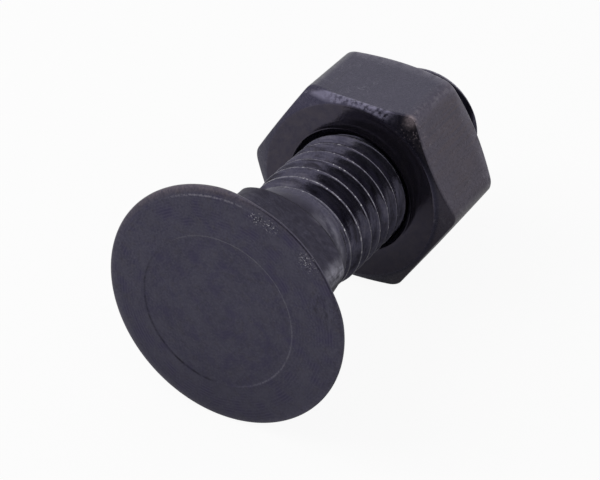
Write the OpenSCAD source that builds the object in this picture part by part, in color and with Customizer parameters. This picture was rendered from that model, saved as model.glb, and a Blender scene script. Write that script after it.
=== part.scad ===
// Plow bolt with its hexagon nut. The bolt lies on its side, at rest on the rim of its head
// and on one flat of the nut, so its axis dips a few degrees towards the threaded end.

/* [Thread] */
// Diameter over the thread's crests
thread_d = 12; // [10:0.1:14]
// Pitch of the thread
thread_pitch = 1.75; // [1:0.05:2.5]
// Distance from the head's face to the first, shallow turn of the thread
thread_start = 12.2; // [11.5:0.1:15]

/* [Bolt] */
// Length of the bolt, from the head's face to the tip
bolt_length = 40.3; // [38:0.1:80]
// Diameter of the round, flat head
head_d = 23.8; // [22:0.1:28]
// Radius of the rounded rim of the head
rim_radius = 0.45; // [0.2:0.05:1]
// Full angle of the countersunk cone under the head
cone_angle = 90; // [80:1:110]

/* [Neck] */
// Width of the square neck across its flats
neck_w = 12; // [11.5:0.1:13]
// Radius of the neck's rounded corners
neck_corner = 2; // [0.5:0.1:3]
// Distance from the head's face to the end of the neck's flats
neck_end = 10.4; // [8:0.1:11]
// Radius of the dome that rounds the neck's corners off towards the shank
neck_dome = 9.5; // [8.5:0.1:11]
// Turn of the neck's flats about the axis, from the flat that the nut lies on
neck_turn = 25; // [0:1:90]

/* [Nut] */
// Width of the nut across its flats
nut_af = 19; // [17:0.1:21]
// Diameter over the nut's blunted corners
nut_corner_d = 21.5; // [20.2:0.1:21.9]
// Height of the nut
nut_h = 10; // [6:0.1:13]
// Diameter of the round face inside the chamfered corners
nut_face_d = 18; // [16:0.1:18.8]
// Slope of the chamfer on the nut's corners
nut_chamfer = 30; // [15:1:40]
// Width of the countersink at each mouth of the nut's hole
nut_sink = 0.45; // [0.1:0.05:0.9]
// Distance from the head's face to the nut's bearing face
nut_at = 23.6; // [16:0.1:26]
// Radial room between the nut's hole and the thread's crests
thread_play = 0.05; // [0.02:0.01:0.1]

/* [Hidden] */
$fn = 120;
steel_black = "#35333d";
nut_black = "#3a3842";

// Radii that the thread sets: a rolled shank is as thick as the pitch diameter
thread_r = thread_d / 2;
shank_r = (thread_d - 0.6495 * thread_pitch) / 2;
tip_r = (thread_d - thread_pitch) / 2;
bore_r = thread_r + thread_play;

// Rim, cone and neck of the head; the cone starts just inside the rim's round and leaves it at a faint edge
head_r = head_d / 2;
cone_half = cone_angle / 2;
rim_inner = 0.95 * rim_radius;
cone_top_r = head_r - rim_radius + rim_inner * cos(cone_half);
cone_top_z = rim_radius + rim_inner * sin(cone_half);
cone_end_z = cone_top_z + (cone_top_r - shank_r) / tan(cone_half);
dome_z = neck_end - sqrt(neck_dome ^ 2 - (neck_w / 2) ^ 2);
dome_end_z = dome_z + sqrt(neck_dome ^ 2 - shank_r ^ 2);

// Corners and chamfers of the nut
nut_corner_r = nut_corner_d / 2;
nut_face_r = nut_face_d / 2;
corner_drop = (nut_corner_r - nut_face_r) * tan(nut_chamfer);
flat_drop = (nut_af / 2 - nut_face_r) * tan(nut_chamfer);
flat_end_z = nut_at + nut_h - flat_drop;

// Dip of the axis at which the rim and the outer end of the nut's lower flat both touch the ground
rest_run = flat_end_z - rim_radius;
rest_rise = head_r - rim_radius - nut_af / 2;
dip = atan2(rest_rise, rest_run) + asin(rim_radius / norm([rest_run, rest_rise]));

// Ends of the lying bolt along the ground, and the height of the axis at the head's face
back_x = rim_radius * cos(dip) - (head_r - rim_radius) * sin(dip) - rim_radius;
front_x = bolt_length * cos(dip) + tip_r * sin(dip);
axis_z = rim_radius * sin(dip) + (head_r - rim_radius) * cos(dip) + rim_radius;

// Lays pieces drawn about an upright axis, head down, on their side with the tip towards +X
module laid_down() {
    translate([-(back_x + front_x) / 2, 0, axis_z])
        rotate([0, 90 + dip, 0])
            children();
}

// Head, cone, shank and thread as one turned form
module turned_blank() {
    rotate_extrude() {
        polygon([
            [0, 0],
            [head_r - rim_radius, 0],
            [cone_top_r, cone_top_z],
            [shank_r, cone_end_z],
            [shank_r, thread_start],
            [thread_r, thread_start + 2 * thread_pitch],
            [thread_r, bolt_length - (thread_r - tip_r)],
            [tip_r, bolt_length],
            [0, bolt_length]
        ]);
        translate([head_r - rim_radius, rim_radius])
            circle(rim_radius);
    }
}

// Square of side w with corners of radius r
module rounded_square(w, r) {
    square([w, w - 2 * r], center = true);
    square([w - 2 * r, w], center = true);
    for (x = [-1, 1], y = [-1, 1])
        translate([x * (w / 2 - r), y * (w / 2 - r)])
            circle(r);
}

// Square neck under the cone; a dome takes its corners and flats down to the round shank
module square_neck() {
    intersection() {
        translate([0, 0, cone_top_z])
            rotate(neck_turn)
                linear_extrude(dome_end_z + thread_pitch / 3 - cone_top_z)
                    rounded_square(neck_w, neck_corner);
        translate([0, 0, dome_z])
            sphere(neck_dome);
    }
}

module plow_bolt() {
    color(steel_black)
        laid_down() {
            turned_blank();
            square_neck();
        }
}

// Round body that blunts the nut's corners and cuts their chamfers
module chamfer_round() {
    rotate_extrude()
        polygon([
            [0, 0],
            [nut_face_r, 0],
            [nut_corner_r, corner_drop],
            [nut_corner_r, nut_h - corner_drop],
            [nut_face_r, nut_h],
            [0, nut_h]
        ]);
}

// Hole of the nut, with a countersink at each mouth
module nut_hole() {
    translate([0, 0, -1])
        cylinder(h = nut_h + 2, r = bore_r);
    cylinder(h = nut_sink, r1 = bore_r + nut_sink, r2 = bore_r);
    translate([0, 0, nut_h - nut_sink])
        cylinder(h = nut_sink, r1 = bore_r, r2 = bore_r + nut_sink);
}

module hex_nut() {
    color(nut_black)
        laid_down()
            translate([0, 0, nut_at])
                difference() {
                    intersection() {
                        rotate(30)
                            cylinder(h = nut_h, r = nut_af / 2 / cos(30), $fn = 6);
                        chamfer_round();
                    }
                    nut_hole();
                }
}

plow_bolt();
hex_nut();
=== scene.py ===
import math

import bmesh
import bpy
import numpy as np
from mathutils import Matrix, Vector


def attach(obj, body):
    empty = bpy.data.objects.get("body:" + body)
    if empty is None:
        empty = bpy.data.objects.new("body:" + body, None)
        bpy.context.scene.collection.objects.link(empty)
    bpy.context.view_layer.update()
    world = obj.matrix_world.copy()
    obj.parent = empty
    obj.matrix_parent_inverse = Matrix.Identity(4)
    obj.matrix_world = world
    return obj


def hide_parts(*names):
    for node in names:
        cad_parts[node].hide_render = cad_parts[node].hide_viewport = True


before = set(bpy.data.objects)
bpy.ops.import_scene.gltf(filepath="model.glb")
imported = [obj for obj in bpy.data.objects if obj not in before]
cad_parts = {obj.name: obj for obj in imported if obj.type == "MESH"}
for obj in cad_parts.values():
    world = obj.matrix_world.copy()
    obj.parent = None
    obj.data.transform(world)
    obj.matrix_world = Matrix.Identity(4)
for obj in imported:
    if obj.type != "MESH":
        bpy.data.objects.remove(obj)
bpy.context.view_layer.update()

MM = 0.001

# Sizes of the solids, in millimetres
THREAD_D = 12.0
PITCH = 1.75
THREAD_START = 12.2
LENGTH = 40.3
HEAD_R = 11.9
RIM = 0.45
CONE_HALF = math.radians(45)
NECK_W = 12.0
NECK_CORNER = 2.0
NECK_END = 10.4
NECK_DOME = 9.5
NECK_TURN = math.radians(25)
NUT_AF = 19.0
NUT_H = 10.0
NUT_FACE_R = 9.0
NUT_CHAMFER = math.radians(30)
NUT_SINK = 0.45
NUT_AT = 23.6
THREAD_PLAY = 0.05

THREAD_R = THREAD_D / 2
TIP_R = (THREAD_D - PITCH) / 2
BORE_R = THREAD_R + THREAD_PLAY
MOUTH_R = BORE_R + NUT_SINK

# Threads: depths as shares of the pitch, a crest's place along the axis at angle 0, and where the grooves start
BOLT_DEPTH = 0.6134
NUT_DEPTH = 0.5413
FLANK_HALF = math.radians(30)
ROOT_R = THREAD_R - BOLT_DEPTH * PITCH
NUT_MINOR_R = THREAD_R - NUT_DEPTH * PITCH + THREAD_PLAY
NUT_ROOT_R = BORE_R + 0.03
NUT_FLANK_SHIFT = 0.035
CREST_AT = 15.64
GROOVE_START = 12.7
GROOVE_RUN = 0.7
CREST_LOOK = 5.94
SHANK_LOOK = 5.5
SHANK_FROM = 11.2
# Rows of one turn of thread, as shares of the pitch from the crest line
TURN_ROWS = [0, 0.035, 0.07, 0.12, 0.2, 0.3, 0.4, 0.46, 0.54, 0.6, 0.7, 0.8, 0.88, 0.93, 0.965]

# Pressed disc on the head's face, a little off centre
DISC_SINK = 0.07
DISC_STEP_R = 7.57
DISC_AWAY = 0.85
DISC_TOWARDS = math.radians(40)
DISC_CENTRE = (DISC_AWAY * math.cos(DISC_TOWARDS), DISC_AWAY * math.sin(DISC_TOWARDS), 0)
# Rings of the face: radius, share of the disc's offset, and depth below the plane of the solid's face
FACE_ROWS = (
    (0.6, 0, DISC_SINK), (1.8, 0.25, DISC_SINK), (3.2, 0.6, DISC_SINK), (4.6, 0.9, DISC_SINK),
    (6, 1, DISC_SINK), (7, 1, DISC_SINK), (7.44, 1, 0.072), (7.5, 1, 0.06), (7.56, 1, 0.036),
    (7.62, 1, 0.012), (7.68, 1, 0.002), (7.8, 1, 0.004), (8.3, 0.75, 0.012), (9.2, 0.4, 0.02),
    (10.2, 0.1, 0.026), (10.8, 0, 0.03), (10.98, 0, 0.03),
)

# Rim of the head: a flat slope that closes in a round, which is tighter on one side. Each pair holds
# the value all round and the value on that side
TIGHT_TOWARDS = math.radians(216)
TIGHT_WITHIN, TIGHT_UNTIL = math.radians(20), math.radians(44)
TIGHT_CUT = 0.39
SLOPE_R = (11.04, 11.64)
SLOPE_Z = ((0.035, 0.035), (0.1, 0.05), (0.14, 0.08))
SLOPE_BEND = 0.53
ROUND_Z = (RIM + 0.01, 0.2)
ROUND_R = (RIM, 0.15)

# Edges that only the looks have: the nut's corners, its face's edge and the round along its chamfers
NUT_CORNER = 1.4
FACE_EDGE_R = 9.06
EDGE_IN = 0.14
EDGE_DOWN = 0.16

# Groove along the curved end of the neck's flats
CREASE_WIDTH = 0.11
CREASE_DEPTH = 0.05

# Widths over which forms run into each other
DOME_BLEND, SHANK_BLEND, CONE_BLEND = 0.1, 0.3, 0.7
CREST_BLEND, ROOT_BLEND, TIP_BLEND = 0.09, 0.2, 0.06
NUT_CREST_BLEND, NUT_ROOT_BLEND, SINK_BLEND = 0.12, 0.08, 0.05

BOLT_COLUMNS = 192
SAME_POINT = 2e-7

# Pose of the lying bolt: local z runs from the head's face to the tip, local x points down
run = NUT_AT + NUT_H - (NUT_AF / 2 - NUT_FACE_R) * math.tan(NUT_CHAMFER) - RIM
rise = HEAD_R - RIM - NUT_AF / 2
DIP = math.atan2(rise, run) + math.asin(RIM / math.hypot(run, rise))
back_x = RIM * math.cos(DIP) - (HEAD_R - RIM) * math.sin(DIP) - RIM
front_x = LENGTH * math.cos(DIP) + TIP_R * math.sin(DIP)
axis_z = RIM * math.sin(DIP) + (HEAD_R - RIM) * math.cos(DIP) + RIM
LAID = Matrix.Translation((-(back_x + front_x) / 2 * MM, 0, axis_z * MM)) @ Matrix.Rotation(
    math.pi / 2 + DIP, 4, "Y"
)


def soft_max(a, b, k):
    """The larger of two values, blended where they are less than k apart."""
    h = np.maximum(k - np.abs(a - b), 0) / k
    return np.maximum(a, b) + h * h * k / 4


def soft_min(a, b, k):
    return -soft_max(-a, -b, k)


def ramp(x, low, high):
    """Smooth step from 0 at low to 1 at high."""
    t = np.clip((x - low) / (high - low), 0, 1)
    return t * t * (3 - 2 * t)


def bezier(a, b, c, d, t):
    return (1 - t) ** 3 * a + 3 * t * (1 - t) ** 2 * b + 3 * t * t * (1 - t) * c + t ** 3 * d


def thread_phase(z, psi):
    """Distance along the axis from the nearest crest line of the bolt's thread."""
    u = (z - CREST_AT) / PITCH - psi / (2 * math.pi)
    return np.abs(u - np.round(u)) * PITCH


def helix_rows(low, high, columns):
    """Axial places of grid rows that follow the thread, held between two planes."""
    first = math.floor((low - CREST_AT) / PITCH) - 2
    last = math.ceil((high - CREST_AT) / PITCH) + 1
    base = np.array([CREST_AT + (n + s) * PITCH for n in range(first, last + 1) for s in TURN_ROWS])
    z = base[:, None] + PITCH * columns[None, :] / (2 * math.pi)
    index = np.where((z.max(axis=1) > low) & (z.min(axis=1) < high))[0]
    z = z[max(index[0] - 1, 0):index[-1] + 2]
    return np.clip(z, low, high)


def grid_mesh(name, radius, z, columns, fields, matrix, cap_start=None, cap_end=None):
    """Mesh from rows of radii and axial places round the axis, laid by the matrix.

    The fields are values kept on its points. Each point's place before it is laid, in millimetres,
    is kept as "place". A cap closes the first or last row at an axial place of its own."""
    rows, count = z.shape
    x = radius * np.cos(columns)[None, :]
    y = radius * np.sin(columns)[None, :]
    points = np.stack([x, y, z], axis=-1).reshape(-1, 3) * MM
    faces = []
    for i in range(rows - 1):
        a, b = i * count, (i + 1) * count
        for j in range(count):
            k = (j + 1) % count
            faces.append((a + j, a + k, b + k, b + j))
    middles = []
    for cap, first in ((cap_start, 0), (cap_end, (rows - 1) * count)):
        if cap is None:
            continue
        middle = len(points) + len(middles)
        middles.append((0, 0, cap * MM))
        for j in range(count):
            k = (j + 1) % count
            ring = (first + k, first + j) if first == 0 else (first + j, first + k)
            faces.append((ring[0], ring[1], middle))
    if middles:
        points = np.vstack([points, np.array(middles)])
    mesh = bpy.data.meshes.new(name)
    mesh.from_pydata(points.tolist(), [], faces)
    for key, value in fields.items():
        filled = np.concatenate([value.reshape(-1), np.zeros(len(middles))]).astype(np.float32)
        mesh.attributes.new(key, "FLOAT", "POINT").data.foreach_set("value", filled)
    kept = (points / MM).astype(np.float32).ravel()
    mesh.attributes.new("place", "FLOAT_VECTOR", "POINT").data.foreach_set("vector", kept)
    bm = bmesh.new()
    bm.from_mesh(mesh)
    bmesh.ops.remove_doubles(bm, verts=bm.verts, dist=SAME_POINT)
    bmesh.ops.recalc_face_normals(bm, faces=bm.faces)
    bm.to_mesh(mesh)
    bm.free()
    mesh.transform(matrix)
    mesh.polygons.foreach_set("use_smooth", [True] * len(mesh.polygons))
    mesh.update()
    return mesh


def add_object(name, data):
    obj = bpy.data.objects.new(name, data)
    bpy.context.scene.collection.objects.link(obj)
    return obj


def square_radius(psi, w, r):
    """Polar radius of a square of side w whose corners have radius r."""
    t = np.mod(psi + math.pi / 4, math.pi / 2) - math.pi / 4
    flat = w / 2 / np.cos(t)
    c = w / 2 - r
    m = np.abs(t) - math.pi / 4
    d = c * math.sqrt(2)
    arc = d * np.cos(m) + np.sqrt(np.maximum(r * r - (d * np.sin(m)) ** 2, 0))
    beyond = np.abs(t) > math.atan2(c, w / 2)
    return np.where(beyond, arc, flat)


def off_centre(ring, away, towards, psi):
    """Polar radius of a circle of radius ring whose centre lies away from the axis, towards an angle."""
    turn = psi - towards
    return away * np.cos(turn) + np.sqrt(ring ** 2 - (away * np.sin(turn)) ** 2)


def head_rows(columns, tight):
    """Radii and places of the head's face and rim, from the middle of the face to the cone."""
    radius, place = [], []
    for ring, share, z in FACE_ROWS:
        radius.append(off_centre(ring, DISC_AWAY * share, DISC_TOWARDS, columns))
        place.append(np.full(len(columns), z))

    def rim(pair):
        plain, tightened = pair
        return plain + (tightened - plain) * tight

    slope_start, slope_z = rim(SLOPE_R), [rim(pair) for pair in SLOPE_Z]
    slope_bend = slope_start + SLOPE_BEND * (HEAD_R - slope_start)
    round_z, round_r = rim(ROUND_Z), rim(ROUND_R)
    for t in np.linspace(0, 1, 12):
        radius.append(bezier(slope_start, slope_bend, HEAD_R, HEAD_R, t))
        place.append(bezier(*slope_z, round_z, t))
    for angle in np.radians(np.linspace(10, 45, 5)):
        radius.append(HEAD_R - round_r + round_r * math.cos(angle))
        place.append(round_z + round_r * math.sin(angle))
    return np.array(radius), np.array(place)


def neck_rows(columns, tight):
    """Radii and places of the cone and the square neck, with the masks of its ridges and its crease."""
    cone_z = RIM + RIM * math.sin(CONE_HALF)
    cone_r = HEAD_R - RIM + RIM * math.cos(CONE_HALF)
    # The rows lie closer where the forms meet
    rows = np.concatenate([
        np.arange(cone_z + 0.15, 3.4, 0.25),
        np.arange(3.4, 8.2, 0.16),
        np.arange(8.2, SHANK_FROM, 0.07),
    ])
    z = np.repeat(rows[:, None], len(columns), axis=1)
    psi = np.repeat(columns[None, :], len(rows), axis=0)
    cut = TIGHT_CUT * tight[None, :] * (1 - ramp(z, 0.8, 6))
    cone = cone_r - (z - cone_z) / math.tan(CONE_HALF) - cut
    dome_z = NECK_END - math.sqrt(NECK_DOME ** 2 - (NECK_W / 2) ** 2)
    dome = np.sqrt(np.maximum(NECK_DOME ** 2 - np.maximum(z - dome_z, 0) ** 2, 0.01))
    square = square_radius(psi - NECK_TURN, NECK_W, NECK_CORNER)
    body = soft_max(soft_min(square, dome, DOME_BLEND), SHANK_LOOK, SHANK_BLEND)
    radius = soft_max(cone, body, CONE_BLEND)
    clear = radius - cone
    ridge = ramp(square, 7.2, 7.6) * ramp(dome - square, -0.5, 0.1) * ramp(clear, 0, 0.6)
    crease = np.exp(-((square - dome) / CREASE_WIDTH) ** 2)
    crease = crease * ramp(7.3 - square, 0, 0.5) * ramp(clear, 0, 0.4)
    return radius - CREASE_DEPTH * crease, z, ridge, crease


def thread_rows(columns):
    """Radii and places of the shank's end and the thread, with the mask of its crests.

    The crests rise slowly from the shank, and the grooves start at once."""
    z = helix_rows(SHANK_FROM, LENGTH, columns)
    psi = np.repeat(columns[None, :], len(z), axis=0)
    s = thread_phase(z, psi)
    flank = THREAD_R - (s - PITCH / 16) / math.tan(FLANK_HALF)
    profile = soft_max(soft_min(flank, THREAD_R, CREST_BLEND), ROOT_R, ROOT_BLEND)
    risen = np.clip((z - THREAD_START) / (2 * PITCH), 0, 1)
    crest_r = SHANK_LOOK + (CREST_LOOK - SHANK_LOOK) * risen
    cut = ramp(z, GROOVE_START, GROOVE_START + GROOVE_RUN)
    thread = crest_r - cut * np.minimum(THREAD_R - profile, THREAD_R - ROOT_R)
    tip_chamfer = TIP_R + (LENGTH - z)
    crest = (1 - ramp(s, 0.04, 0.12)) * cut * ramp(LENGTH - z, 0.5, 0.9)
    return soft_min(thread, tip_chamfer, TIP_BLEND), z, crest


def bolt_mesh():
    columns = np.arange(BOLT_COLUMNS) * 2 * math.pi / BOLT_COLUMNS
    turned_away = np.abs(np.mod(columns - TIGHT_TOWARDS + math.pi, 2 * math.pi) - math.pi)
    tight = 1 - ramp(turned_away, TIGHT_WITHIN, TIGHT_UNTIL)
    head_r, head_z = head_rows(columns, tight)
    neck_r, neck_z, ridge, crease = neck_rows(columns, tight)
    thread_r, thread_z, crest = thread_rows(columns)
    tip_r = np.stack([share * np.minimum(thread_r[-1], TIP_R) for share in (0.93, 0.6, 0.25)])
    tip_z = np.full_like(tip_r, LENGTH)
    parts = (head_r, neck_r, thread_r, tip_r)

    def field(part, values):
        """Values on the rows of one part, and 0 on those of the others."""
        return np.vstack([values if other is part else np.zeros_like(other) for other in parts])

    fields = {
        "crest": field(thread_r, crest),
        "ridge": field(neck_r, ridge),
        "crease": field(neck_r, crease),
    }
    radius, place = np.vstack(parts), np.vstack([head_z, neck_z, thread_z, tip_z])
    return grid_mesh("plow_bolt_look", radius, place, columns, fields, LAID, DISC_SINK, LENGTH)


def hexagon_columns():
    """Angles and radii round a hexagon with small round corners, a flat towards local x."""
    inner = NUT_AF / 2
    half = (inner - NUT_CORNER) * math.tan(math.radians(30))
    angles, radii = [], []
    for side in range(6):
        turn = math.radians(60 * side)
        places = [(inner, t * half) for t in np.linspace(-1, 1, 21)]
        for angle in np.radians((10, 20, 30, 40, 50)):
            x = inner - NUT_CORNER + NUT_CORNER * math.cos(angle)
            places.append((x, half + NUT_CORNER * math.sin(angle)))
        for x, y in places:
            angles.append(math.atan2(y, x) + turn)
            radii.append(math.hypot(x, y))
    return np.array(angles), np.array(radii)


def nut_half_rows(outline):
    """Radii, places and edge wear of half of the outside, from the hole's mouth to the middle of the flats."""
    slope = math.tan(NUT_CHAMFER)
    rows = []

    def add(radius, place, wear):
        rows.append([np.broadcast_to(value, outline.shape) for value in (radius, place, wear)])

    for r, z in ((MOUTH_R + 0.03, 0.02), (MOUTH_R + 0.1, 0), (7.2, 0), (7.9, 0), (8.5, 0), (8.85, 0),
                 (8.97, 0.008), (FACE_EDGE_R, 0.034)):
        add(r, z, 0)
    corner_z = (outline - NUT_FACE_R) * slope
    chamfer_end = outline - EDGE_IN
    for t in (0.35, 0.62):
        r = FACE_EDGE_R + (chamfer_end - FACE_EDGE_R) * t
        add(r, (r - NUT_FACE_R) * slope, 0.25 * t)
    start_z, end_z = corner_z - EDGE_IN * slope, corner_z + EDGE_DOWN
    for t in np.linspace(0, 1, 6):
        a, b, c = (1 - t) ** 2, 2 * t * (1 - t), t * t
        r, z = a * chamfer_end + (b + c) * outline, a * start_z + b * corner_z + c * end_z
        add(r, z, 1 - abs(2 * t - 1) * 0.6)
    for t in (0.06, 0.16, 0.34, 0.62, 1):
        add(outline, end_z + (NUT_H / 2 - end_z) * t, max(0, 0.3 - t))
    return np.array(rows).transpose(1, 0, 2)


def nut_mesh():
    columns, outline = hexagon_columns()
    half_r, half_z, half_edge = nut_half_rows(outline)
    outer_r = np.vstack([half_r, half_r[-2::-1]])
    outer_z = np.vstack([half_z, NUT_H - half_z[-2::-1]])
    outer_edge = np.vstack([half_edge, half_edge[-2::-1]])

    # Hole, from the far mouth back to the near one
    hole_z = helix_rows(NUT_AT, NUT_AT + NUT_H, columns)[::-1]
    psi = np.repeat(columns[None, :], len(hole_z), axis=0)
    s = PITCH / 2 - thread_phase(hole_z, psi)
    wall = NUT_MINOR_R + (s - PITCH / 8 + NUT_FLANK_SHIFT) / math.tan(FLANK_HALF)
    wall = soft_min(soft_max(wall, NUT_MINOR_R, NUT_CREST_BLEND), NUT_ROOT_R, NUT_ROOT_BLEND)
    local = hole_z - NUT_AT
    sink = np.maximum(MOUTH_R - local, MOUTH_R - (NUT_H - local))
    hole_r = np.minimum(soft_max(wall, sink, SINK_BLEND), MOUTH_R)

    def closed(outer, hole):
        """Rows of the outside and the hole; the last row meets the first, which closes the ring."""
        return np.vstack([outer, hole, outer[:1]])

    radius = closed(outer_r, hole_r)
    corner = ramp(outline, outline.max() - 0.12, outline.max())[None, :]
    corner = np.where(radius > NUT_FACE_R, corner, 0)
    fields = {"edge": closed(outer_edge, np.zeros_like(hole_r)), "corner": corner}
    placed = LAID @ Matrix.Translation((0, 0, NUT_AT * MM))
    return grid_mesh("hex_nut_look", radius, closed(outer_z, local), columns, fields, placed)


class Tree:
    """Short forms for building a node tree."""

    # The mix node's colour sockets share their names with others, so they go by number
    MIX_A, MIX_B, MIX_RESULT = 6, 7, 2

    def __init__(self, node_tree):
        self.nodes = node_tree.nodes
        self.links = node_tree.links

    def add(self, kind, **settings):
        node = self.nodes.new(kind)
        for key, value in settings.items():
            setattr(node, key, value)
        return node

    def plug(self, value, socket):
        if isinstance(value, bpy.types.NodeSocket):
            self.links.new(value, socket)
        else:
            socket.default_value = value

    def math(self, kind, a, b=0.0):
        node = self.add("ShaderNodeMath", operation=kind)
        self.plug(a, node.inputs[0])
        self.plug(b, node.inputs[1])
        return node.outputs[0]

    def fold(self, kind, values):
        """Joins several values with one operation."""
        result = values[0]
        for value in values[1:]:
            result = self.math(kind, result, value)
        return result

    def times(self, *values):
        return self.fold("MULTIPLY", values)

    def plus(self, *values):
        return self.fold("ADD", values)

    def most(self, *values):
        return self.fold("MAXIMUM", values)

    def apart(self, a, b):
        """Distance between two numbers."""
        return self.math("ABSOLUTE", self.math("SUBTRACT", a, b))

    def vector(self, kind, a, b=(0, 0, 0)):
        node = self.add("ShaderNodeVectorMath", operation=kind)
        self.plug(a, node.inputs[0])
        self.plug(b, node.inputs[1])
        return node.outputs["Value"] if kind in ("LENGTH", "DISTANCE", "DOT_PRODUCT") else node.outputs[0]

    def stretch(self, place, x, y, z):
        return self.vector("MULTIPLY", place, (x, y, z))

    def split(self, place):
        node = self.add("ShaderNodeSeparateXYZ")
        self.links.new(place, node.inputs[0])
        return node.outputs

    def millimetres(self):
        """Place on the piece before it was laid down."""
        return self.add("ShaderNodeAttribute", attribute_name="place").outputs["Vector"]

    def attribute(self, name):
        return self.add("ShaderNodeAttribute", attribute_name=name).outputs["Fac"]

    def noise(self, place, scale, detail, rough, distortion=0.0):
        """Noise with about that many features to a millimetre."""
        node = self.add("ShaderNodeTexNoise")
        self.links.new(place, node.inputs["Vector"])
        node.inputs["Scale"].default_value = scale
        node.inputs["Detail"].default_value = detail
        node.inputs["Roughness"].default_value = rough
        node.inputs["Distortion"].default_value = distortion
        return node.outputs["Fac"]

    def spread(self, value, low, high, to_low=0.0, to_high=1.0, smooth=False):
        """Takes low to to_low and high to to_high, and holds what lies beyond."""
        node = self.add("ShaderNodeMapRange", interpolation_type="SMOOTHSTEP" if smooth else "LINEAR")
        self.links.new(value, node.inputs["Value"])
        for key, number in (("From Min", low), ("From Max", high), ("To Min", to_low), ("To Max", to_high)):
            node.inputs[key].default_value = number
        return node.outputs["Result"]

    def near(self, place, centre, inner, outer):
        """1 within inner millimetres of a point, 0 beyond outer."""
        return self.spread(self.vector("DISTANCE", place, centre), inner, outer, 1, 0, smooth=True)

    def mix(self, factor, a, b):
        node = self.add("ShaderNodeMix", data_type="RGBA")
        self.plug(factor, node.inputs["Factor"])
        self.plug(a, node.inputs[self.MIX_A])
        self.plug(b, node.inputs[self.MIX_B])
        return node.outputs[self.MIX_RESULT]

    def coat(self, colour, paint, *shares):
        """Colour with a paint over it, as strong as the product of the shares."""
        return self.mix(self.times(*shares), colour, paint)

    def show(self, shader):
        output = self.add("ShaderNodeOutputMaterial")
        self.links.new(shader.outputs[0], output.inputs["Surface"])


def new_material(name):
    material = bpy.data.materials.new(name)
    material.use_nodes = True
    material.node_tree.nodes.clear()
    return material, Tree(material.node_tree)


def rgb(code):
    """Linear colour of a hexadecimal screen colour."""
    parts = [int(code[i:i + 2], 16) / 255 for i in (0, 2, 4)]
    return tuple(c / 12.92 if c <= 0.04045 else ((c + 0.055) / 1.055) ** 2.4 for c in parts) + (1.0,)


def grey(level):
    return (level, level, level, 1.0)


STEEL_METALLIC = 0.82


def steel_shader(t, colour, roughness, height):
    """Shows blackened steel; the height is in millimetres."""
    bump = t.add("ShaderNodeBump")
    bump.inputs["Strength"].default_value = 1.0
    bump.inputs["Distance"].default_value = MM
    t.plug(height, bump.inputs["Height"])
    shader = t.add("ShaderNodeBsdfPrincipled")
    t.plug(bump.outputs["Normal"], shader.inputs["Normal"])
    t.plug(colour, shader.inputs["Base Color"])
    t.plug(roughness, shader.inputs["Roughness"])
    shader.inputs["Metallic"].default_value = STEEL_METALLIC
    t.show(shader)


BOLT_PAINT = {
    "steel": rgb("464455"),
    "pale_steel": rgb("4e4c5d"),
    "warm_cloud": rgb("474346"),
    "dark_grain": rgb("33313c"),
    "light_grain": rgb("67646f"),
    "face_violet": rgb("403c54"),
    "face_grey": rgb("545260"),
    "face_low_shade": rgb("3a3846"),
    "forged_skin": rgb("2a2735"),
    "forged_mark": rgb("757281"),
    "crease": rgb("1b1a20"),
    "neck_shade": rgb("302d3b"),
    "pale_patch": rgb("9593a0"),
    "corner": rgb("bebcca"),
    "rolled_dark": rgb("2f2d37"),
    "rolled_light": rgb("6e6b78"),
    "worn_crest": rgb("aaa7b2"),
    "crest_speck": rgb("d6d3da"),
    "turned_line": rgb("6d6a7c"),
    "step_highlight": rgb("7b7884"),
    "step_shade": rgb("24222b"),
    "smudge": rgb("25232c"),
    "rim_highlight": rgb("9a96a2"),
    "rim_band_and_sheen": rgb("75696a"),
    "ding": rgb("1f1d26"),
    "ding_speck": rgb("c2bfc8"),
}

# Marks on the bolt, in local millimetres: directions from the axis, places, and places with their reach
SHADED_SIDE = (-0.985, -0.17, 0)
PALE_COLLAR_SIDE = (-0.5, -0.866, 0)
DISC_LOW_SIDE = (0.6, 0.8, 0)
SMUDGE = (-3.8, -9.9, 0)
DINGS = (((-10.5, -2.7, 0), 0.9), ((-10.1, -4.2, 0), 1.0), ((-10.4, -3.4, 0), 0.6), ((-8.0, -8.2, 0.1), 1.5))
RIM_HIGHLIGHT_R = 11.1
# The painted highlight on one corner is measured in a space that is squeezed along the axis, so that its patch
# is long
CORNER_SQUEEZE = 0.42
HIGHLIGHT_CORNER = (-2.0, -7.05, 3.0)


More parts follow.
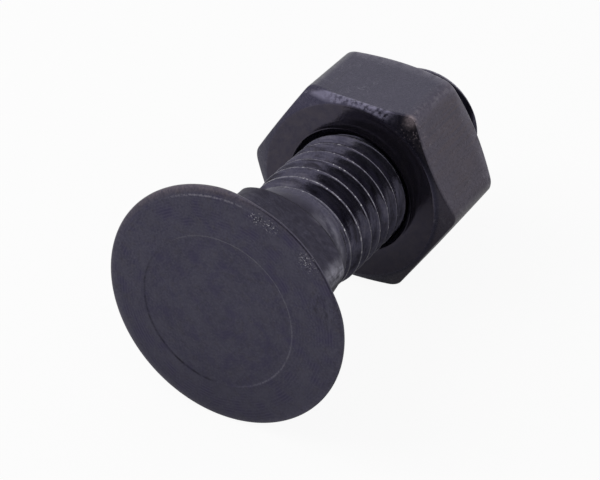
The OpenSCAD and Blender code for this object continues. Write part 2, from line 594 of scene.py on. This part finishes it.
def bolt_material():
    material, t = new_material("blackened_bolt_steel")
    paint = BOLT_PAINT
    p = t.millimetres()
    x, y, z = t.split(p)
    flat = t.stretch(p, 1, 1, 0)
    radius = t.vector("LENGTH", flat)
    towards = t.vector("NORMALIZE", flat)
    face = t.spread(z, 0.06, 0.12, 1, 0)
    neck = t.times(t.spread(z, 2.0, 4.0), t.spread(z, 11.0, 12.5, 1, 0))
    threaded = t.spread(z, GROOVE_START - 0.3, GROOVE_START + 0.5, smooth=True)

    # Blackened steel all over, with a blotchy face, and painted shade that darkens the face towards its lower
    # side
    blotch = t.noise(p, 0.3, 4, 0.55)
    cloud = t.noise(p, 1.3, 3, 0.6)
    grain = t.noise(p, 4.5, 3, 0.6)
    mottle = t.noise(p, 0.55, 4, 0.6)
    colour = t.mix(t.spread(blotch, 0.35, 0.68), paint["steel"], paint["pale_steel"])
    colour = t.coat(colour, paint["warm_cloud"], t.spread(cloud, 0.5, 0.8, 0, 0.5))
    colour = t.coat(colour, paint["dark_grain"], t.spread(grain, 0.3, 0.5, 0.4, 0))
    colour = t.coat(colour, paint["light_grain"], t.spread(grain, 0.5, 0.75, 0, 0.4))
    colour = t.coat(colour, paint["face_violet"], face, t.spread(mottle, 0.5, 0.66, 0, 0.9))
    colour = t.coat(colour, paint["face_grey"], face, t.spread(mottle, 0.5, 0.34, 0, 0.6))
    # Painted shade: the face darkens towards its lower side
    colour = t.coat(colour, paint["face_low_shade"], face, t.spread(x, -1, 10, 0, 0.35))

    # Forged skin of the neck: darker, with short marks, painted shade in its crease and painted shade on one
    # side
    marks = t.noise(t.stretch(p, 0.8, 0.8, 1.5), 1.3, 5, 0.7, 0.6)
    colour = t.coat(colour, paint["forged_skin"], neck, t.spread(marks, 0.4, 0.7, 0.9, 0.35))
    colour = t.coat(colour, paint["forged_mark"], neck, t.spread(marks, 0.62, 0.82, 0, 0.25))
    # Painted shade: the crease along the flats' curved end is darkened
    colour = t.coat(colour, paint["crease"], t.attribute("crease"), 0.8)
    # Painted shade: one side of the neck near its end is darkened
    shaded = t.spread(t.vector("DOT_PRODUCT", towards, SHADED_SIDE), 0.7, 0.9)
    colour = t.coat(colour, paint["neck_shade"], neck, t.spread(z, 9.0, 10.0), shaded, 0.6)

    # Collar paler on one side, faint wear on the neck's ridges, and a painted highlight on one corner
    collar = t.times(t.spread(z, 9.5, 10.5), t.spread(z, 12.5, 12.1))
    # Paler patches on the side of the collar that faces one direction
    pale_patch = t.times(collar, t.spread(t.vector("DOT_PRODUCT", towards, PALE_COLLAR_SIDE), 0.8, 0.96),
                     t.spread(t.noise(t.stretch(p, 0.6, 0.6, 1.2), 1.0, 4, 0.6), 0.35, 0.65))
    ridges = t.times(t.attribute("ridge"), t.spread(t.noise(p, 1.2, 4, 0.65), 0.45, 0.65, 0, 0.12))
    colour = t.coat(colour, paint["pale_patch"], t.most(pale_patch, ridges), 0.5)
    squeezed = t.stretch(p, 1, 1, CORNER_SQUEEZE)
    # Painted highlight: a bright patch on the neck's lower corner
    colour = t.coat(colour, paint["corner"], t.near(squeezed, HIGHLIGHT_CORNER, 0.2, 1.7),
                    t.spread(t.noise(t.stretch(p, 1.4, 1.4, 0.5), 0.9, 3, 0.6), 0.25, 0.55),
                    t.spread(marks, 0.35, 0.6, 0.45, 1), 0.8)

    # Rolled flanks with streaks along the turns, and thin broken worn lines with specks along the crests
    rolled = t.noise(t.stretch(p, 0.35, 0.35, 4.5), 1.0, 4, 0.65, 0.3)
    turns = t.times(threaded, t.spread(z, LENGTH - 0.1, LENGTH - 0.02, 1, 0.25))
    crest = t.attribute("crest")
    colour = t.coat(colour, paint["rolled_dark"], turns, t.spread(rolled, 0.5, 0.34))
    colour = t.coat(colour, paint["rolled_light"], turns, t.spread(rolled, 0.52, 0.7, 0, 0.5))
    colour = t.coat(colour, paint["worn_crest"], crest,
                    t.spread(t.noise(p, 1.1, 4, 0.75), 0.4, 0.62, 0.12, 1), 0.5)
    colour = t.coat(colour, paint["crest_speck"], crest, t.spread(t.noise(p, 3.4, 2, 0.5), 0.6, 0.68), 0.7)

    # Faint turned lines round the pressed disc, whose step has a painted highlight on one side and painted
    # shade on the other
    ring = t.vector("DISTANCE", flat, DISC_CENTRE)
    wave = t.math("SINE", t.plus(t.times(ring, 22.0), t.times(blotch, 6.0)))
    colour = t.coat(colour, paint["turned_line"], t.spread(wave, -0.2, 1.0), face, t.spread(mottle, 0.44, 0.62),
                    t.spread(ring, 7.6, 8.6, 0.3, 1), 0.17)
    step = t.times(face, t.spread(t.apart(ring, DISC_STEP_R), 0.03, 0.12, 1, 0))
    from_centre = t.vector("SUBTRACT", flat, DISC_CENTRE)
    low_side = t.math("DIVIDE", t.vector("DOT_PRODUCT", from_centre, DISC_LOW_SIDE), DISC_STEP_R)
    # Painted highlight on the step's upper right side
    colour = t.coat(colour, paint["step_highlight"], step, t.spread(low_side, 0.3, -0.2),
                    t.spread(grain, 0.3, 0.65), 0.4)
    # Painted shade on the step's lower left side
    colour = t.coat(colour, paint["step_shade"], step, t.spread(low_side, 0.35, 0.75),
                    t.spread(cloud, 0.35, 0.6), 0.55)
    colour = t.coat(colour, paint["smudge"], t.near(p, SMUDGE, 0.3, 2.2),
                    t.spread(t.noise(t.stretch(p, 0.7, 2.0, 1), 1.4, 4, 0.65), 0.48, 0.6), 0.5)

    # Rim: a painted highlight, a thin bright line along the top where the face ends, and a rubbed brownish band
    # outside it with painted sheen, strongest at the top and left
    high = t.times(t.spread(x, -9.0, -10.6), t.spread(y, -2.5, 0.0), t.spread(y, 5.5, 8.5, 1, 0))
    # Painted highlight along the top of the rim
    rim_highlight = t.times(t.spread(t.apart(radius, RIM_HIGHLIGHT_R), 0.04, 0.14, 1, 0), high)
    # Brownish wear on the rim band, with painted sheen stronger at the top and left
    rim_band_and_sheen = t.times(t.spread(radius, 11.2, 11.7), t.spread(grain, 0.35, 0.65, 0.3, 1))
    colour = t.coat(colour, paint["rim_highlight"], rim_highlight, t.spread(grain, 0.35, 0.6), 0.55)
    colour = t.coat(colour, paint["rim_band_and_sheen"], rim_band_and_sheen, t.spread(x, -3, -10, 0.1, 0.45),
                    t.spread(y, -3.5, 1, 0.25, 1))

    # Dings near the rim, dark with bright specks
    struck = t.times(t.most(*[t.near(p, place, 0.1, reach) for place, reach in DINGS]),
                     t.spread(t.noise(p, 1.3, 2, 0.5), 0.34, 0.52))
    pits = t.times(t.spread(t.noise(t.stretch(p, 1, 0.7, 1), 8.0, 1, 0.5), 0.58, 0.68), struck)
    colour = t.coat(colour, paint["ding"], struck, t.spread(t.noise(p, 4.6, 3, 0.6), 0.46, 0.38), 0.8)
    colour = t.coat(colour, paint["ding_speck"], pits, 0.95)

    rough = t.mix(threaded, t.spread(grain, 0.25, 0.75, 0.3, 0.42), t.spread(grain, 0.25, 0.75, 0.12, 0.2))
    rough = t.coat(rough, grey(0.55), neck, 0.8)
    height = t.plus(t.times(grain, 0.005), t.times(cloud, 0.01), t.times(marks, neck, 0.03),
                    t.times(pits, -0.05))
    steel_shader(t, colour, rough, height)
    return material


NUT_PAINT = {
    "steel": rgb("393749"),
    "pale_steel": rgb("3f3c4e"),
    "brown": rgb("504b57"),
    "rust": rgb("5c4e4b"),
    "score": rgb("302d33"),
    "hair": rgb("8d8a98"),
    "dark_grain": rgb("33303e"),
    "light_grain": rgb("625e6d"),
    "face": rgb("544f57"),
    "face_low_shade": rgb("2c2a33"),
    "worn_edge": rgb("88848d"),
    "far_edge_highlight": rgb("9a96a3"),
    "bevel_shade": rgb("26252d"),
    "frost": rgb("928ea6"),
    "bruise": rgb("a09298"),
}

# Marks on the nut, in local millimetres
BRUISE = (-9.1, -5.3, 0.7)
CHIPS = (-8.3, -5.8, 0.6)


def nut_material():
    material, t = new_material("blackened_nut_steel")
    paint = NUT_PAINT
    p = t.millimetres()
    x, y, z = t.split(p)
    radius = t.vector("LENGTH", t.stretch(p, 1, 1, 0))
    side = t.spread(radius, 9.3, 9.5)
    beyond_face = t.spread(radius, 9.05, 9.2)

    # Blackened steel, brownish on the flats of one side, with scores along the axis and hair scratches
    blotch = t.noise(p, 0.25, 4, 0.55)
    cloud = t.noise(p, 1.2, 3, 0.6)
    streak = t.noise(t.stretch(p, 2.4, 2.4, 0.14), 1.0, 3, 0.6)
    grain = t.noise(p, 4.5, 3, 0.6)
    brown = t.times(side, t.spread(y, -4.3, -6.0))
    scores = t.noise(t.stretch(p, 3.0, 3.0, 0.06), 1.0, 2, 0.5)
    hair = t.apart(t.noise(p, 0.45, 2, 0.5, 1.5), 0.5)
    colour = t.mix(t.spread(blotch, 0.35, 0.68), paint["steel"], paint["pale_steel"])
    colour = t.coat(colour, paint["brown"], brown)
    colour = t.coat(colour, paint["rust"], brown, t.spread(streak, 0.45, 0.7),
                    t.spread(blotch, 0.35, 0.65), 0.5)
    colour = t.coat(colour, paint["score"], side, t.spread(scores, 0.6, 0.72), 0.22)
    colour = t.coat(colour, paint["hair"], side, t.spread(hair, 0.002, 0.007, 1, 0),
                    t.spread(t.noise(p, 0.6, 2, 0.5), 0.48, 0.6), 0.35)
    colour = t.coat(colour, paint["dark_grain"], t.spread(grain, 0.3, 0.5, 0.35, 0))
    colour = t.coat(colour, paint["light_grain"], t.spread(grain, 0.5, 0.75, 0, 0.35))

    # Smooth bearing face, with painted shade that darkens it low down
    smooth_face = t.times(t.spread(z, 0.1, 0.04), t.spread(radius, 9.1, 9.0))
    colour = t.coat(colour, paint["face"], smooth_face, t.spread(cloud, 0.3, 0.7, 0.25, 0.75))
    # Painted shade: the bearing face darkens towards its lower side
    colour = t.coat(colour, paint["face_low_shade"], smooth_face, t.spread(x, 1, 6, 0, 0.5))

    # Worn corners and edges, with a painted highlight along the far end's edge; the chamfers have painted shade
    # on one side
    edge = t.attribute("edge")
    worn = t.times(t.most(edge, t.attribute("corner")), t.spread(t.noise(p, 1.5, 4, 0.65), 0.5, 0.7))
    colour = t.coat(colour, paint["worn_edge"], worn, 0.35)
    # Painted highlight along the far end's edge
    colour = t.coat(colour, paint["far_edge_highlight"], edge, t.spread(z, 7.5, 8.5), t.spread(cloud, 0.3, 0.55), 0.8)
    above_slope = t.math("SUBTRACT", z, t.times(radius, math.tan(NUT_CHAMFER)))
    # Painted shade: the chamfers darken on one side
    bevel_shade = t.times(beyond_face, t.spread(above_slope, -4.9, -5.1))
    colour = t.coat(colour, paint["bevel_shade"], bevel_shade, t.spread(y, 0, -5), 0.5)

    # Frosted strip on the upper chamfer of the bearing face, and a bruised corner beside it
    strip = t.times(t.spread(z, 0.75, 0.6), t.spread(x, -8.5, -8.9), beyond_face,
                    t.spread(y, -4.2, -2.6), t.spread(y, 6.0, 5.0))
    frost = t.times(strip, t.most(t.spread(t.noise(p, 2.2, 4, 0.7), 0.42, 0.56),
                                  t.spread(y, 1.5, 4.0, 0, 0.85)))
    colour = t.coat(colour, paint["frost"], frost, 0.72)
    bruise = t.times(t.near(p, BRUISE, 0.2, 1.0), t.spread(t.noise(p, 3.2, 3, 0.65), 0.3, 0.6))
    chips = t.times(t.near(p, CHIPS, 0.4, 2.4), t.spread(t.noise(p, 4.2, 3, 0.7), 0.58, 0.66), 0.7)
    bruise = t.most(bruise, chips)
    colour = t.coat(colour, paint["bruise"], bruise, 0.85)

    scuffed = t.most(frost, bruise)
    rough = t.mix(smooth_face, t.spread(grain, 0.25, 0.75, 0.24, 0.34), t.spread(grain, 0.25, 0.75, 0.1, 0.17))
    rough = t.coat(rough, grey(0.5), scuffed)
    height = t.plus(t.times(grain, 0.003), t.times(cloud, 0.006), t.times(streak, side, 0.006),
                    t.times(scuffed, grain, 0.02))
    steel_shader(t, colour, rough, height)
    return material


bolt = add_object("bolt_forged", bolt_mesh())
bolt.data.materials.append(bolt_material())
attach(bolt, "bolt")
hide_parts("plow_bolt")

nut = add_object("nut_hexagon", nut_mesh())
nut.data.materials.append(nut_material())
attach(nut, "nut")
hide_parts("hex_nut")

# Stage, in metres: a plain pale floor and white surroundings
FLOOR_HALF = 3
FLOOR_PALE = 0.92
FLOOR_GLOW = 0.93
FLOOR_MIRRORED = 0.1
WORLD_LIGHT = 0.42
DARK_SIDE = (-0.9, -0.43, 0.05)
DARK_FROM, DARK_FULL = 0.62, 0.7
DARK_LEVEL = 0.06


def floor_material():
    """Matt floor that the camera sees near white; in metal it shows nearly as it is lit."""
    material, t = new_material("pale_floor")
    path = t.add("ShaderNodeLightPath").outputs
    mirrored = t.times(path["Is Glossy Ray"], FLOOR_MIRRORED)
    seen = t.most(path["Is Camera Ray"], mirrored, path["Is Transmission Ray"])
    matt = t.add("ShaderNodeBsdfDiffuse")
    matt.inputs["Color"].default_value = grey(FLOOR_PALE)
    glow = t.add("ShaderNodeEmission")
    glow.inputs["Color"].default_value = grey(1)
    glow.inputs["Strength"].default_value = 1
    blend = t.add("ShaderNodeMixShader")
    t.plug(t.times(seen, FLOOR_GLOW), blend.inputs["Fac"])
    t.plug(matt.outputs[0], blend.inputs[1])
    t.plug(glow.outputs[0], blend.inputs[2])
    t.show(blend)
    return material


def studio_world():
    """White world, dimmer as a light than as it is seen, with a dark side that only reflections show."""
    world = bpy.data.worlds.new("studio")
    world.use_nodes = True
    t = Tree(world.node_tree)
    path = t.add("ShaderNodeLightPath").outputs
    seen = t.most(path["Is Camera Ray"], path["Is Glossy Ray"], path["Is Transmission Ray"])
    level = t.spread(seen, 0, 1, WORLD_LIGHT, 1)
    facing = t.vector("DOT_PRODUCT", t.add("ShaderNodeTexCoord").outputs["Generated"], DARK_SIDE)
    dimmed = t.spread(facing, DARK_FROM, DARK_FULL, 1, DARK_LEVEL, smooth=True)
    sky = world.node_tree.nodes["Background"]
    sky.inputs["Color"].default_value = grey(1)
    t.plug(t.times(level, t.most(dimmed, path["Is Camera Ray"])), sky.inputs["Strength"])
    return world


floor_mesh = bpy.data.meshes.new("floor")
corners = [(x * FLOOR_HALF, y * FLOOR_HALF, 0) for x, y in ((-1, -1), (1, -1), (1, 1), (-1, 1))]
floor_mesh.from_pydata(corners, [], [(0, 1, 2, 3)])
floor_mesh.materials.append(floor_material())
floor = add_object("floor", floor_mesh)
bpy.context.scene.world = studio_world()

# Soft lamp above the far side, aimed at the part's middle and left out of reflections
KEY_PLACE = Vector((-0.12, 0.36, 0.32))
KEY_AIM = Vector((0, 0, 0.012))
KEY_SIZE = 0.4
KEY_WATTS = 1.3

key_light = bpy.data.lights.new("key", "AREA")
key_light.shape = "SQUARE"
key_light.size = KEY_SIZE
key_light.energy = KEY_WATTS
key = add_object("key", key_light)
key.location = KEY_PLACE
key.rotation_mode = "QUATERNION"
key.rotation_quaternion = (KEY_AIM - KEY_PLACE).to_track_quat("-Z", "Y")
key.visible_glossy = False

# Camera at the photograph's place
CAMERA_PLACE = (-0.165771, -0.085626, 0.146597)
CAMERA_RIGHT = Vector((0.48970, -0.87147, 0.02711))
CAMERA_DOWN = Vector((-0.51294, -0.31310, -0.79928))
CAMERA_LENS = 147.36
CAMERA_SENSOR = 36
CAMERA_CLIP = (0.01, 20)

camera = add_object("camera", bpy.data.cameras.new("camera"))
bpy.context.scene.camera = camera
up = -CAMERA_DOWN
back = CAMERA_RIGHT.cross(up).normalized()
camera.matrix_world = Matrix.Translation(CAMERA_PLACE) @ Matrix((CAMERA_RIGHT, up, back)).transposed().to_4x4()
camera.data.sensor_width = CAMERA_SENSOR
camera.data.lens = CAMERA_LENS
camera.data.clip_start, camera.data.clip_end = CAMERA_CLIP

bpy.context.scene.view_settings.view_transform = "Standard"

bpy.context.view_layer.update()
